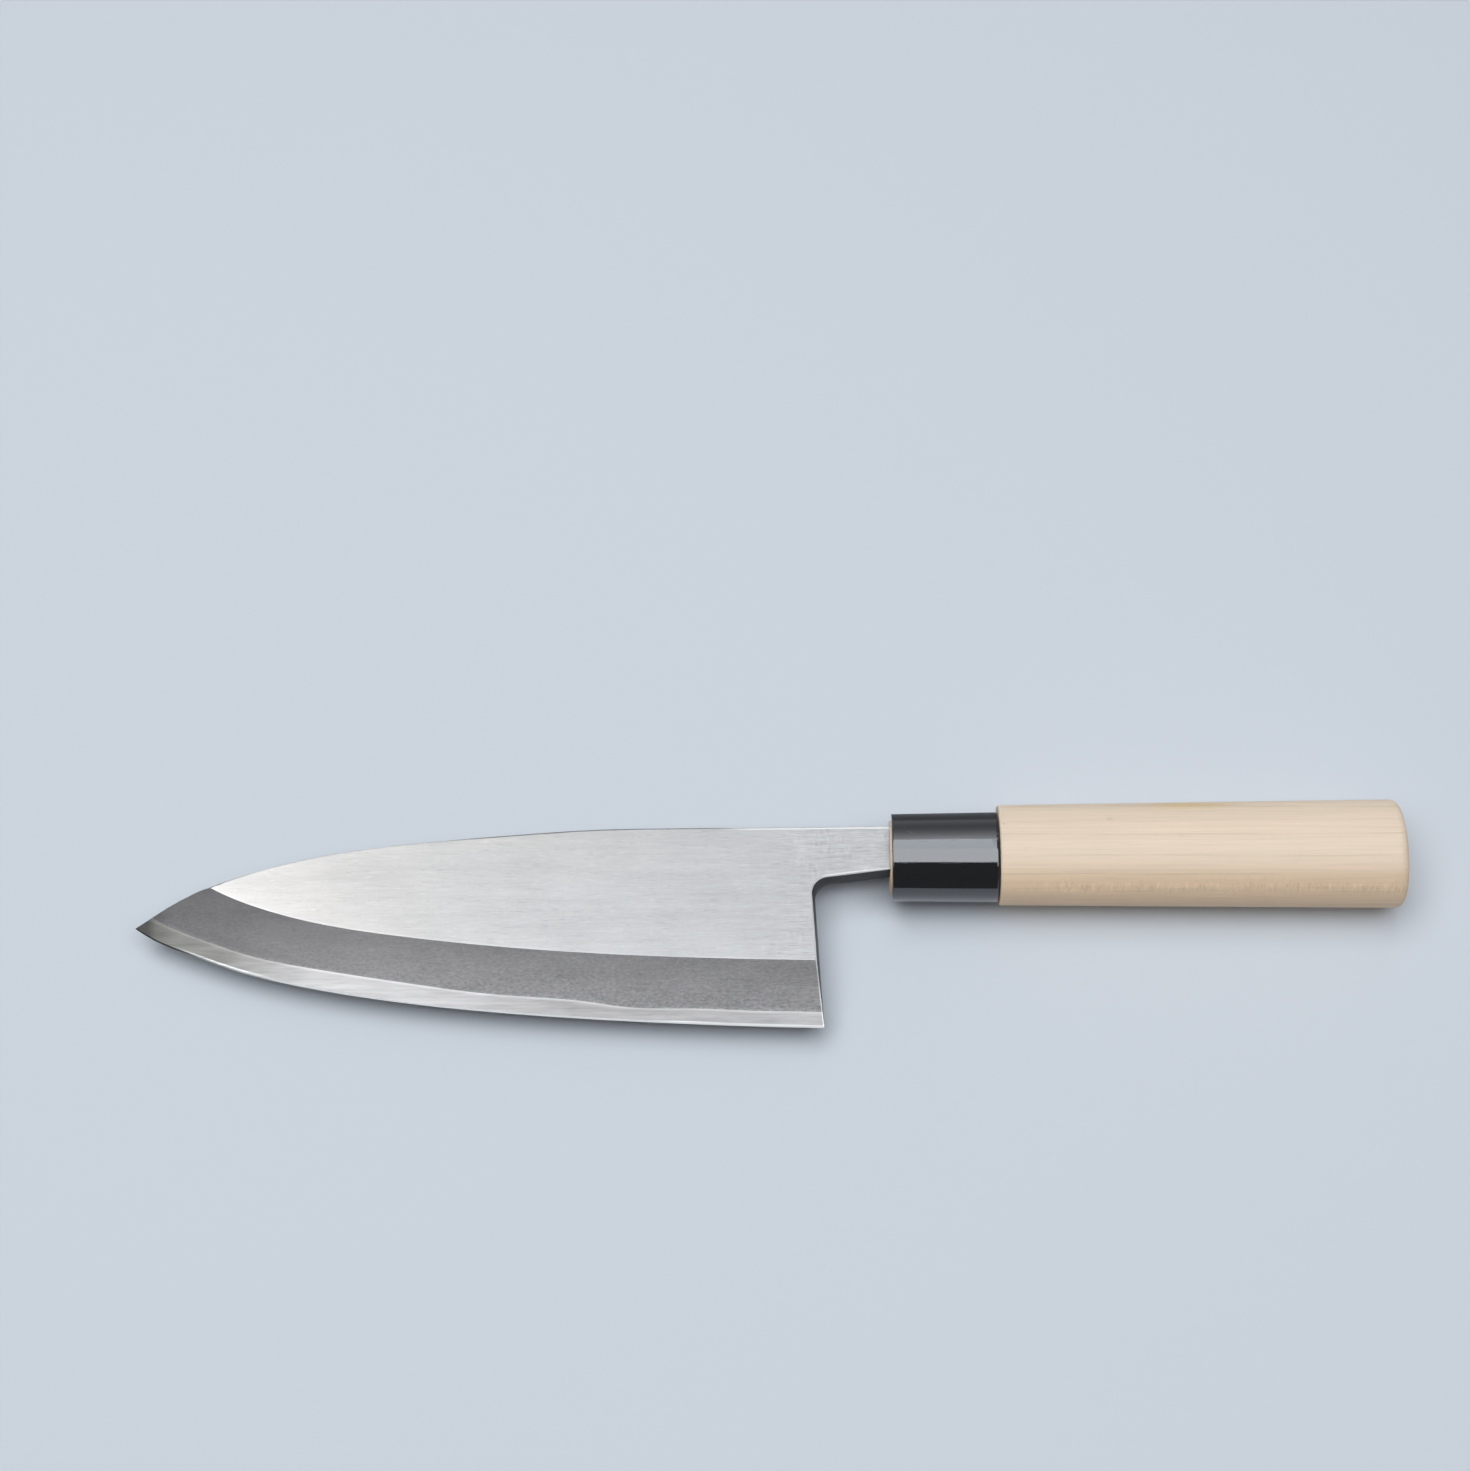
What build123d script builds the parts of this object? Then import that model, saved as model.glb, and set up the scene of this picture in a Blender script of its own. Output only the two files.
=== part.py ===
from build123d import *
import os

# Deba knife: a heavy single-bevel fish knife with a forge-welded blade and a wooden push-on handle.
# Lengths are in millimetres. The origin is the middle of the ferrule's front face.
# +X runs along the handle from blade to butt, +Y from the cutting edge to the spine,
# +Z out of the bevelled face, so the hollow-ground back faces -Z.

os.makedirs("parts", exist_ok=True)

# Blade, seen flat
blade_length = 163.85
blade_height = 48.6
neck_length = 16.2
spine_rise = 7.1
neck_drop_at_ferrule = 3.9
neck_drop_at_heel = 6.2
choil_radius = 4.0
heel_lean = 2.15

# Blade, in section
neck_thickness = 5.4
bevel_line_thickness_at_heel = 4.65
bevel_line_thickness_at_tip = 2.9
heel_draft = 0.9
edge_bevel_width = 0.35
edge_bevel_height = 0.22
spine_softening = 0.4
neck_softening = 0.25
hollow_wheel_radius = 480.0
steel_thickness = 1.1
steel_past_heel = 4.0

# Tang, hidden in the handle
neck_inside_handle = 6.0
tang_length = 88.0
tang_shoulder = 0.4
tang_end_width = 6.0
tang_end_thickness = 3.0
tang_end_rise = 1.2

# Ferrule, an oval ring
ferrule_length = 25.3
ferrule_width_front = 21.3
ferrule_width_back = 22.0
ferrule_wall = 1.6
ferrule_front_softening = 0.3
ferrule_back_softening = 0.8

# Wooden handle with a tenon that fills the ferrule
handle_length = 120.1
grip_width_front = 24.45
grip_width_butt = 26.4
oval_flatness_share = 0.80
grip_rise = 0.55
butt_radius = 2.3
grip_front_softening = 0.3
tenon_proud = 0.4
resin_gap = 0.4
resin_setback = 0.8
slot_end_room = 3.0

# Spare length by which a cutting shape passes the face that it cuts
overrun = 4.0

# Outline points: share of the blade's length from heel to tip, share of its height from the spine down
tip_shares = (1.0, 0.485)
bevel_corner_shares = (0.891, 0.284)
bevel_line_heel_shares = (0.0, 0.692)
spine_bend_share = 0.27
spine_shares = ((0.47, 0.032), (0.62, 0.075), (0.765, 0.152), bevel_corner_shares, (0.955, 0.389), tip_shares,
                (1.05, 0.583))
spine_end_direction = (-1, -0.75)
edge_shares = ((-0.17, 1.004), (0.0, 1.0), (0.25, 0.969), (0.53, 0.898), (0.75, 0.786),
               (0.86, 0.690), (0.92, 0.616), (0.97, 0.546), tip_shares, (1.045, 0.388))
bevel_line_shares = ((-0.17, 0.700), bevel_line_heel_shares, (0.18, 0.674), (0.40, 0.630), (0.61, 0.553),
                     (0.735, 0.480), (0.81, 0.410), (0.863, 0.342), (0.94, 0.190))

# Hollow in the back: share of the length, then the shares of the height of its two borders
hollow_shares = ((-0.03, 0.44, 0.955), (0.06, 0.25, 0.950), (0.20, 0.105, 0.932), (0.45, 0.100, 0.877),
                 (0.70, 0.180, 0.776), (0.86, 0.310, 0.630), (0.94, 0.425, 0.540))

# Weld line of the hard steel: share of the length, share of the layer's full thickness
weld_shares = ((-0.01, 1.04), (0.10, 1.01), (0.175, 1.01), (0.25, 0.87), (0.288, 0.88), (0.33, 1.01),
               (0.39, 1.06), (0.46, 1.00), (0.60, 1.04), (0.68, 1.02), (0.755, 0.95), (0.83, 0.86),
               (0.905, 0.83), (1.05, 0.50))

# Places that several pieces share
heel_x = -neck_length
back_z = -neck_thickness / 2
tenon_half_width = ferrule_width_front / 2 - ferrule_wall
tenon_half_thickness = ferrule_width_front / 2 * oval_flatness_share - ferrule_wall
slot_depth = tang_length + slot_end_room


def along(length_share):
    """X of a point at a share of the blade's length from the heel to the tip."""
    return heel_x - blade_length * length_share


def down(height_share):
    """Y of a point at a share of the blade's height from the spine to the heel corner."""
    return spine_rise - blade_height * height_share


def plan(*shares):
    """Points of an outline that is given in shares of the blade's length and height."""
    return [(along(length_share), down(height_share)) for length_share, height_share in shares]


# The bevelled side's upper face is one plane. It thins toward the tip and a little toward the bevel line.
neck_point = Vector(0, spine_rise, back_z + neck_thickness)
heel_point = Vector(*plan(bevel_line_heel_shares)[0], back_z + bevel_line_thickness_at_heel)
corner_point = Vector(*plan(bevel_corner_shares)[0], back_z + bevel_line_thickness_at_tip)
face_normal = (corner_point - neck_point).cross(heel_point - neck_point).normalized()
face_height = face_normal.dot(neck_point) / face_normal.Z
face_plane = Plane(
    origin=(0, 0, face_height), x_dir=(face_normal.Z, 0, -face_normal.X), z_dir=face_normal
)
back_plane = Plane.XY.offset(back_z)

# Slab between the flat back and the upper face. Straight rulings from edge to bevel line make the bevel,
# and a short steeper step beside the edge makes the thread-thin sharpened bevel.
slab_sections = (
    (back_plane, plan(*edge_shares)),
    (back_plane.offset(edge_bevel_height), [(x, y + edge_bevel_width) for x, y in plan(*edge_shares)]),
    (face_plane, plan(*bevel_line_shares)),
)
with BuildPart() as bevelled_slab:
    for section_plane, points in slab_sections:
        with BuildSketch(section_plane):
            with BuildLine():
                lower_curve = Spline(*points)
                Polyline(
                    lower_curve @ 1,
                    ((lower_curve @ 1).X, spine_rise + overrun),
                    ((lower_curve @ 0).X, spine_rise + overrun),
                    lower_curve @ 0,
                )
            make_face()
    loft(ruled=True)

# Outline of the blade and neck, as a prism whose heel leans back as it nears the bevelled side
with BuildPart() as outline_prism:
    for level in (back_z - overrun, back_z + neck_thickness + overrun):
        draft_here = heel_draft * (level - back_z) / neck_thickness
        choil_corner = (heel_x - heel_lean - draft_here, -neck_drop_at_heel)
        with BuildSketch(Plane.XY.offset(level)):
            with BuildLine():
                spine_start = (along(spine_bend_share), spine_rise)
                spine_curve = Spline(spine_start, *plan(*spine_shares), tangents=((-1, 0), spine_end_direction))
                Polyline(
                    spine_curve @ 1,
                    ((spine_curve @ 1).X, down(1) - overrun),
                    (heel_x - draft_here, down(1) - overrun),
                    (heel_x - draft_here, down(1)),
                    choil_corner,
                    (0, -neck_drop_at_ferrule),
                    (neck_inside_handle, -neck_drop_at_ferrule),
                    (neck_inside_handle, spine_rise),
                    spine_start,
                )
            make_face()
            fillet(vertices().sort_by_distance(choil_corner)[0], choil_radius)
    loft(ruled=True)

# Shallow hollow of the back: wheel-radius arcs that follow the outline and run out through the heel
with BuildPart() as back_hollow:
    for length_share, upper_share, lower_share in hollow_shares:
        upper_y = down(upper_share)
        lower_y = down(lower_share)
        hollow_depth = (upper_y - lower_y) ** 2 / (8 * hollow_wheel_radius)
        with BuildSketch(Plane.YZ.offset(along(length_share))):
            with BuildLine():
                ThreePointArc(
                    (lower_y, back_z), ((lower_y + upper_y) / 2, back_z + hollow_depth), (upper_y, back_z)
                )
                Polyline(
                    (upper_y, back_z), (upper_y, back_z - overrun), (lower_y, back_z - overrun), (lower_y, back_z)
                )
            make_face()
    loft()

# Tang: a tapering bar that starts inside the neck
with BuildPart() as tang:
    with BuildSketch(Plane.YZ):
        with Locations(((spine_rise - neck_drop_at_ferrule) / 2, 0)):
            Rectangle(
                spine_rise + neck_drop_at_ferrule - 2 * tang_shoulder, neck_thickness - 2 * tang_shoulder
            )
    with BuildSketch(Plane.YZ.offset(tang_length)):
        with Locations((tang_end_rise, 0)):
            Rectangle(tang_end_width, tang_end_thickness)
    loft(ruled=True)

# The whole forging, before it is told apart into soft iron and hard steel
with BuildPart() as forging:
    add(bevelled_slab.part)
    add(outline_prism.part, mode=Mode.INTERSECT)
    add(back_hollow.part, mode=Mode.SUBTRACT)
    upper_face = faces().filter_by(GeomType.PLANE).sort_by(SortBy.AREA)[-1]
    fillet(upper_face.edges().filter_by(Axis.Y, reverse=True).sort_by(Axis.Y)[-2:], spine_softening)
    upper_face = faces().filter_by(GeomType.PLANE).sort_by(SortBy.AREA)[-1]
    chamfer(upper_face.edges().sort_by_distance(choil_corner)[:3], neck_softening)
    add(tang.part)

# Everything under the weld line, from the tip to just past the heel
with BuildPart() as steel_zone:
    with BuildSketch(Plane.XZ):
        with BuildLine():
            weld_end = (heel_x + steel_past_heel, back_z + steel_thickness)
            weld_line = Spline(
                weld_end,
                *[(along(length_share), back_z + steel_thickness * share) for length_share, share in weld_shares]
            )
            Polyline(
                weld_line @ 1,
                ((weld_line @ 1).X, back_z - overrun),
                (weld_end[0], back_z - overrun),
                weld_end,
            )
        make_face()
    extrude(amount=blade_height + overrun, both=True)

with BuildPart() as blade_body:
    add(forging.part)
    add(steel_zone.part, mode=Mode.SUBTRACT)

with BuildPart() as cutting_steel:
    add(forging.part)
    add(steel_zone.part, mode=Mode.INTERSECT)

blade_body.part.label = "blade_body"
export_step(blade_body.part, "parts/blade_body.step")

cutting_steel.part.label = "cutting_steel"
export_step(cutting_steel.part, "parts/cutting_steel.step")

# Oval ring round the tenon
with BuildPart() as ferrule:
    with BuildSketch(Plane.YZ):
        Ellipse(ferrule_width_front / 2, ferrule_width_front / 2 * oval_flatness_share)
    with BuildSketch(Plane.YZ.offset(ferrule_length)):
        Ellipse(ferrule_width_back / 2, ferrule_width_back / 2 * oval_flatness_share)
    loft(ruled=True)
    fillet(edges().filter_by(GeomType.LINE, reverse=True).group_by(Axis.X)[0], ferrule_front_softening)
    fillet(edges().filter_by(GeomType.LINE, reverse=True).group_by(Axis.X)[-1], ferrule_back_softening)
    with BuildSketch(Plane.YZ):
        Ellipse(tenon_half_width, tenon_half_thickness)
    extrude(amount=ferrule_length, mode=Mode.SUBTRACT)

ferrule.part.label = "ferrule"
export_step(ferrule.part, "parts/ferrule.step")

# Slot for the tang, wider than the neck and tang all round by the gap that the resin fills
with BuildPart() as slot_space:
    with BuildSketch(Plane.YZ.offset(-tenon_proud)):
        with Locations(((spine_rise - neck_drop_at_ferrule) / 2, 0)):
            Rectangle(
                spine_rise + neck_drop_at_ferrule + 2 * resin_gap, neck_thickness + 2 * resin_gap
            )
    with BuildSketch(Plane.YZ.offset(neck_inside_handle)):
        with Locations(((spine_rise - neck_drop_at_ferrule) / 2, 0)):
            Rectangle(
                spine_rise + neck_drop_at_ferrule + 2 * resin_gap, neck_thickness + 2 * resin_gap
            )
    with BuildSketch(Plane.YZ.offset(slot_depth)):
        with Locations((tang_end_rise, 0)):
            Rectangle(tang_end_width + 2 * resin_gap, tang_end_thickness + 2 * resin_gap)
    loft(ruled=True)

# Grip and tenon, cut from one piece of wood
with BuildPart() as handle:
    with BuildSketch(Plane.YZ.offset(ferrule_length)):
        with Locations((grip_rise, 0)):
            Ellipse(grip_width_front / 2, grip_width_front / 2 * oval_flatness_share)
    with BuildSketch(Plane.YZ.offset(handle_length)):
        with Locations((grip_rise, 0)):
            Ellipse(grip_width_butt / 2, grip_width_butt / 2 * oval_flatness_share)
    loft(ruled=True)
    fillet(edges().filter_by(GeomType.LINE, reverse=True).group_by(Axis.X)[-1], butt_radius)
    chamfer(edges().filter_by(GeomType.LINE, reverse=True).group_by(Axis.X)[0], grip_front_softening)
    with BuildSketch(Plane.YZ.offset(-tenon_proud)):
        Ellipse(tenon_half_width, tenon_half_thickness)
    extrude(amount=tenon_proud + ferrule_length)
    add(slot_space.part, mode=Mode.SUBTRACT)

handle.part.label = "handle"
export_step(handle.part, "parts/handle.step")

# Resin that beds the neck and tang in the slot
with BuildPart() as tang_resin:
    add(slot_space.part)
    split(bisect_by=Plane.YZ.offset(resin_setback), keep=Keep.TOP)
    add(forging.part, mode=Mode.SUBTRACT)

tang_resin.part.label = "tang_resin"
export_step(tang_resin.part, "parts/tang_resin.step")
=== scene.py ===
from typing import NamedTuple

import bpy
import numpy as np
from mathutils import Matrix, Vector


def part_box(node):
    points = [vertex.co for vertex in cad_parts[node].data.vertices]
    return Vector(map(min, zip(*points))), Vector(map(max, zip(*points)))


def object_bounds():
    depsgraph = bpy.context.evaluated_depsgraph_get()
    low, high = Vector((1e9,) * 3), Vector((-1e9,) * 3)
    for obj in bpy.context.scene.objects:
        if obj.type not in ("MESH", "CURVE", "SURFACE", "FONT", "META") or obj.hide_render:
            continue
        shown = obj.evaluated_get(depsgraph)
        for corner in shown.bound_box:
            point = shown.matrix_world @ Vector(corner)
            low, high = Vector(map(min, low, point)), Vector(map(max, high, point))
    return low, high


bl_info = {
    "name": "Deba Knife",
    "version": (1, 0, 0),
    "blender": (4, 5, 0),
    "location": "View3D > Sidebar > Deba Knife",
    "description": "Finishes a deba knife in ground steel, black and bare wood, and lights it",
    "category": "Object",
}

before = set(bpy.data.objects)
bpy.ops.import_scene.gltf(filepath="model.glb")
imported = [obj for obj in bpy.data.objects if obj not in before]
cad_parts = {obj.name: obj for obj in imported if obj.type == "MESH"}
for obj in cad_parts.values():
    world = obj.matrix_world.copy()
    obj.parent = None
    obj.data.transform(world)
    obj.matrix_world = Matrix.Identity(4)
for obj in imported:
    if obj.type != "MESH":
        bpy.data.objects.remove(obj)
cad_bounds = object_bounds()

MM = 0.001
PHOTO_WIDTH = 1470

# Sockets of a Mix node that mixes colours
MIX_FIRST = 6
MIX_SECOND = 7
MIX_RESULT = 2

# Middle of a noise, rays that look for an edge, and finer layers in the noise of a brush mark
NOISE_MIDDLE = 0.5
EDGE_SAMPLES = 6
STROKE_DETAIL = 3.0


class Grain(NamedTuple):
    """Noise in cells of one length along the knife and one width across it, in metres.

    Detail is how many finer layers it has, and roughness how strong they are. A blend turns the
    noise into marks: its two values are where they start and where they are full.
    """

    length: float
    width: float
    detail: float = 2.0
    roughness: float = 0.5
    blend: tuple = ()


class Spot(NamedTuple):
    """A soft spot: its middle and its reach along and across the knife, in metres, and its strength."""

    along: float
    reach_along: float
    across: float
    reach_across: float
    strength: float


class Line(NamedTuple):
    """A line across the blade: first and last X, lowest and highest Y, and its points as shares of those."""

    first: float
    last: float
    low: float
    high: float
    points: list


class SoftBox(NamedTuple):
    """A lamp over the table: its left, right, near and far sides in metres, its glow and its colour."""

    left: float
    right: float
    near: float
    far: float
    glow: float
    colour: tuple


# In the classes below, two or four numbers in brackets are a ramp, apart from colours. It starts at the
# first and ends at the second, while its result goes from 0 to 1, or from the third to the fourth. With
# near in the name they are a middle and a reach, and with vary a share of a mark and a base.


class Faces:
    """Kinds of blade faces. A face is told by its rise, the Z of its normal, and the spine by its Y.

    The last two are the least and the most rise of the faces whose borders are measured.
    """

    upper = (0.992, 0.995)
    bevel = (0.90, 0.94)
    eased = (0.40, 0.50)
    eased_end = (0.88, 0.92, 1.0, 0.0)
    front = (0.3, 0.5)
    # Sides of the steel that face the front, for painted shade.
    shaded_flank = (0.5, 0.3)
    back = (-0.90, -0.98)
    spine = (0.3, 0.6)
    wholly_upper = (0.993, 1.1)
    wholly_bevel = (0.94, 0.993)


class Stations:
    """First and last X at which each border of the blade is measured, and how many stations there are."""

    ridge = (-161 * MM, -19 * MM)
    weld = (-170 * MM, -19 * MM)
    edge = (-175 * MM, -19 * MM)
    spine = (-160 * MM, -2 * MM)
    neck = (-15 * MM, -2 * MM)
    count = 48


class Heel:
    """The painted highlight line beside the heel: the heel's low corner, its lean up the bevel, and the line.
    """

    x = -16.2 * MM
    y = cad_bounds[0].y
    lean = 0.1127
    line = (-0.34 * MM, -0.14 * MM)
    light_on_iron = 0.5
    light_on_steel = 0.5


class Brushed:
    """The brushed upper face and neck. Shares are parts of its brightness; the lift toward the tip and the
    lines are painted highlights.
    """

    stroke_roughness = 0.6
    grains = {
        "light_stroke": Grain(2.6 * MM, 0.30 * MM, detail=1.0, blend=(0.12, 0.24)),
        "dark_stroke": Grain(3.2 * MM, 0.28 * MM, detail=1.0, blend=(-0.13, -0.25)),
        "band": Grain(35 * MM, 1.5 * MM),
        "blotch": Grain(16 * MM, 8 * MM),
        "cloud": Grain(14 * MM, 4 * MM),
        "cross": Grain(0.7 * MM, 3 * MM, detail=1.0),
        "cross_patch": Grain(4 * MM, 3 * MM, detail=1.0, blend=(-0.05, 0.18)),
    }
    shares = {
        "stroke": 0.40, "light_stroke": 0.13, "dark_stroke": -0.14,
        "band": 0.20, "blotch": 0.18, "cross": 0.10,
    }
    neck = (-36 * MM, -14 * MM)
    neck_shares = {"stroke": 0.65, "cross": 0.40}
    neck_light = 0.03
    heel_fade = (-19 * MM, -18 * MM, 1.0, 0.0)
    # Painted highlight: a glow and a bright line just above the bevel line.
    low_glow = (0.0, 7 * MM, 0.05, 0.0)
    near_ridge = (0.15 * MM, 0.45 * MM)
    ridge_vary = (0.16, 0.096)
    pale_spots = (
        Spot(-21.5 * MM, 2.6 * MM, 1.0 * MM, 9.0 * MM, 0.07),
        Spot(-4.6 * MM, 1.3 * MM, 1.5 * MM, 3.2 * MM, 0.08),
    )
    warm_across = (-8 * MM, 4 * MM)
    warm_along = (-40 * MM, -90 * MM)
    warm_vary = (2.0, 0.5)
    warm_tip = (-75 * MM, -140 * MM, 0.0, 0.8)
    level = 0.90
    # Painted highlight: the face grows brighter toward the tip.
    lift_start = -20 * MM
    lift_length = 140 * MM
    lift_light = 0.16
    tip_power = 5.0
    tip_light = 0.38
    # Painted highlights: bright lines along the spine and the neck's lower edge.
    spine_line = (-0.50 * MM, -0.20 * MM)
    spine_line_start = (-42 * MM, -30 * MM)
    spine_light = 0.35
    neck_line = (0.35 * MM, 0.12 * MM)
    neck_line_start = (-17 * MM, -15 * MM)
    neck_line_light = 0.42


class Misted:
    """The matte bevel, with painted shade toward the tip. Down runs from 0 at the bevel line to 1 at the
    weld.
    """

    grains = {
        "speck": Grain(1.0 * MM, 0.50 * MM, detail=3.0, roughness=0.75),
        "pit": Grain(1.1 * MM, 0.45 * MM, detail=1.0, blend=(-0.22, -0.30)),
    }
    shares = {"cloud": 0.28, "stroke": 0.45, "pit": -0.22}
    heel_strokes = (-62 * MM, -24 * MM, 0.0, 0.30)
    specks_down = (0.2, 1.0, 0.65, 1.30)
    specks_along = (-150 * MM, -80 * MM, 0.65, 1.15)
    down_light = (0.0, 0.85, -0.13, 0.08)
    weld_wander = 2.0 * MM
    weld_fringe = (-0.2 * MM, 0.9 * MM, 0.30, 0.0)
    fringe_vary = (1.8, 0.7)
    # Painted shade toward the tip and at the point.
    toward_tip = (-125 * MM, -178 * MM, 1.0, 0.66)
    point = (-170 * MM, -180 * MM, 1.0, 0.5)


class Iron:
    """The rest of the soft iron: sides with painted shade, and eased edges with painted highlights in places.
    """

    side_shares = {"cloud": 0.4, "stroke": 0.3}
    back_shares = {"cloud": 0.3, "stroke": 0.5}
    past_spine = (-0.20 * MM, -0.02 * MM)
    past_spine_start = (-160 * MM, -159 * MM)
    # Painted highlight on the eased edges, at the heel and toward the tip.
    highlight_at_heel = (-46 * MM, -32 * MM, 0.28, 0.75)
    highlight_at_tip = (-94 * MM, -112 * MM, 0.0, 0.42)
    highlight_vary = (0.5, 1.0)
    eased_roughness = 0.85
    side_roughness = 0.5
    stroke_roughening = 0.12
    relief = 0.006 * MM


class Steel:
    """The hard steel: the bright band with painted shade toward the tip and in the middle, painted glints,
    and the back.
    """

    stroke_roughness = 0.5
    grains = {"streak": Grain(22 * MM, 0.6 * MM), "cloud": Grain(12 * MM, 2.0 * MM)}
    shares = {"stroke": 0.36, "streak": 0.34, "cloud": 0.55}
    weld_fringe = (0.1 * MM, 0.7 * MM, 0.28, 0.0)
    tip_wander = 14 * MM
    # Painted shade: darker toward the tip, at the point and in the middle of the blade.
    toward_tip = (-133 * MM, -162 * MM)
    dark_tip = (-168 * MM, -178 * MM, 1.0, 0.65)
    point = (-174.5 * MM, -177.5 * MM, 1.0, 0.55)
    near_middle = (-66 * MM, 58 * MM)
    middle_dark = 0.23
    # Painted highlights: the keen edge, fading to dark toward the tip, and glints along the edge.
    keen_highlight = (-140 * MM, -172 * MM, 1.0, 0.08)
    tip_glint = (0.45 * MM, 0.20 * MM)
    near_tip_glint = (-157 * MM, 15 * MM)
    tip_glint_light = 0.5
    heel_glint = (0.32 * MM, 0.12 * MM)
    heel_glint_start = (-70 * MM, -40 * MM)
    heel_glint_light = 0.4
    shaded_flank_vary = (0.3, 1.2)
    roughness = 0.40
    stroke_roughening = 0.1
    keen_roughening = 0.35
    relief = 0.004 * MM


class Polish:
    """The ring's polish, its scratches, its resin crust at the wood, and the dull strip of painted shade on
    its far side.
    """

    grains = {
        "haze": Grain(6 * MM, 1.5 * MM, detail=3.0),
        "wave": Grain(14 * MM, 3 * MM, detail=1.0),
        "scratch": Grain(9 * MM, 0.10 * MM, blend=(0.14, 0.24)),
        "crust": Grain(0.45 * MM, 0.45 * MM, roughness=0.7, blend=(0.02, 0.16)),
    }
    top = (0.0, 1 * MM)
    slant = 0.54
    near_slanted = (5.4 * MM, 0.10 * MM)
    near_slanted_along = (4.5 * MM, 2.4 * MM)
    scored_shares = {"scratch": 0.20, "slanted": 0.9}
    crust_start = 2.0 * MM
    crust_full = 0.5 * MM
    near_crust_across = (1.5 * MM, 3.4 * MM)
    # Painted shade: a dull strip along the ring's far top.
    dull_start = (0.50, 0.58)
    dull_end = (0.94, 0.99, 1.0, 0.0)
    dull_share = 0.88
    dull_roughness = 0.5
    dull_gloss = 0.2
    roughening = {"haze": 0.05, "scored": 0.3, "crust": 0.5}
    relief_shares = {"wave": 1.0, "crust": 3.0, "scored": -0.4}
    relief = 0.03 * MM
    refraction = 1.5
    coat_roughness = 0.03
    gloss_tint = (0.92, 0.945, 1.0, 1)


class Wood:
    """Bare wood. Depth is measured through its growth rings, which lie slanted in the grip."""

    grains = {
        "warp": Grain(120 * MM, 10 * MM),
        "patchy": Grain(26 * MM, 1.2 * MM, blend=(-0.12, 0.14)),
        "fibre": Grain(18 * MM, 0.35 * MM, detail=4.0, roughness=0.6),
        "figure": Grain(45 * MM, 1.6 * MM),
        "thread": Grain(28 * MM, 0.55 * MM),
        "pore": Grain(3.0 * MM, 0.14 * MM, blend=(0.12, 0.22)),
        "dash": Grain(2.6 * MM, 0.30 * MM, detail=1.0, blend=(0.16, 0.28)),
        "fleck": Grain(0.70 * MM, 2.2 * MM, roughness=0.65),
    }
    depth_across = 0.746
    depth_up = 0.665
    depth_warp = 1.5 * MM
    depth_shift = 0.37 * MM
    late = (0.86, 0.985)
    late_end = (0.985, 1.0, 1.0, 0.0)
    fine_spacing_share = 0.25
    fine = (0.72, 0.97)
    fine_end = (0.97, 1.0, 1.0, 0.0)
    near_flecks = (-3.0 * MM, 3.2 * MM)
    flecks_along = (24 * MM, 45 * MM)
    flecks_vary = (2.4, 0.7)
    light_fleck = (0.06, 0.16)
    dark_fleck = (-0.04, -0.14)
    stain = Spot(70 * MM, 14 * MM, 10.6 * MM, 2.6 * MM, 1.0)
    stain_vary = (3.0, 1.0)
    stain_up = (1 * MM, 4 * MM)
    knots = (
        Spot(51.1 * MM, 1.3 * MM, 5.9 * MM, 0.9 * MM, 0.30),
        Spot(26.2 * MM, 0.5 * MM, 4.7 * MM, 0.35 * MM, 0.55),
    )
    top = (0.0, 1 * MM)
    # Painted light: where the grip turns warmer, low on its near side.
    warm = (4.4 * MM, -3.2 * MM)
    upper_step = (1.2 * MM, 0.9 * MM, 0.025, -0.02)
    lower_step = (-2.9 * MM, -3.2 * MM, 0.0, -0.035)
    late_vary = (0.16, 0.06)
    fine_share = 0.12
    dark_shares = {"pore": 0.16, "dark_fleck": 0.32}
    light_shares = {"fibre": 0.16, "figure": 0.15, "thread": 0.13, "dash": 0.05, "light_fleck": 0.12}
    end_grain = (0.6, 0.95)
    end_vary = (0.3, -0.10)
    # Painted highlight along the wood's edges.
    rim_radius = 0.5 * MM
    rim_highlight = (0.995, 0.93)
    rim_light = 0.09
    roughness_vary = (0.15, 0.58)
    relief_shares = {"fibre": 1.0, "pore": -0.4, "late": -0.3}
    relief = 0.02 * MM


class Lumps:
    """The resin's lumpy surface."""

    grain = Grain(0.8 * MM, 0.8 * MM, detail=3.0)
    vary = (0.6, 1.0)
    roughness = 0.45
    relief = 0.1 * MM


class Room:
    """The table and the room's light. Side, depth and height are a direction's X, Y and Z."""

    table_half = 3.0
    table_roughness = 0.9
    table_gloss = 0.2
    table_fade = (0.33, 1.15)
    soft_boxes = {
        "main_box": SoftBox(-1.15, 1.05, -0.50, 0.31, 3.26, (0.94, 0.975, 1.0)),
        "back_box": SoftBox(-0.42, 0.22, 0.31, 0.97, 2.95, (0.90, 0.955, 1.0)),
        "tip_box": SoftBox(-0.90, -0.42, 0.31, 0.90, 4.03, (1.0, 0.98, 0.95)),
        "left_box": SoftBox(-1.50, -0.32, -0.82, -0.50, 2.00, (0.95, 0.98, 1.0)),
        "right_box": SoftBox(0.32, 1.45, -0.82, -0.50, 2.00, (0.95, 0.98, 1.0)),
    }
    colour = (0.93, 0.96, 1.0, 1)
    dim = 0.10
    near_back = (0.0, 0.45)
    back_depth = (0.0, 0.45)
    back_light = 0.20
    halo_start = 0.20
    halo_length = 0.66
    halo_power = 3.5
    near_halo = (0.06, 0.22)
    halo_depth = (0.0, 0.3)
    halo_top = (0.84, 0.87, 1.7, 0.0)
    wall_height = (0.55, 0.10)
    near_gap = (0.0, 0.6)
    gap_depth = (0.1, -0.1, 0.6, 1.0)
    wall_light = 0.45
    nearest_seen = 0.01


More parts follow.
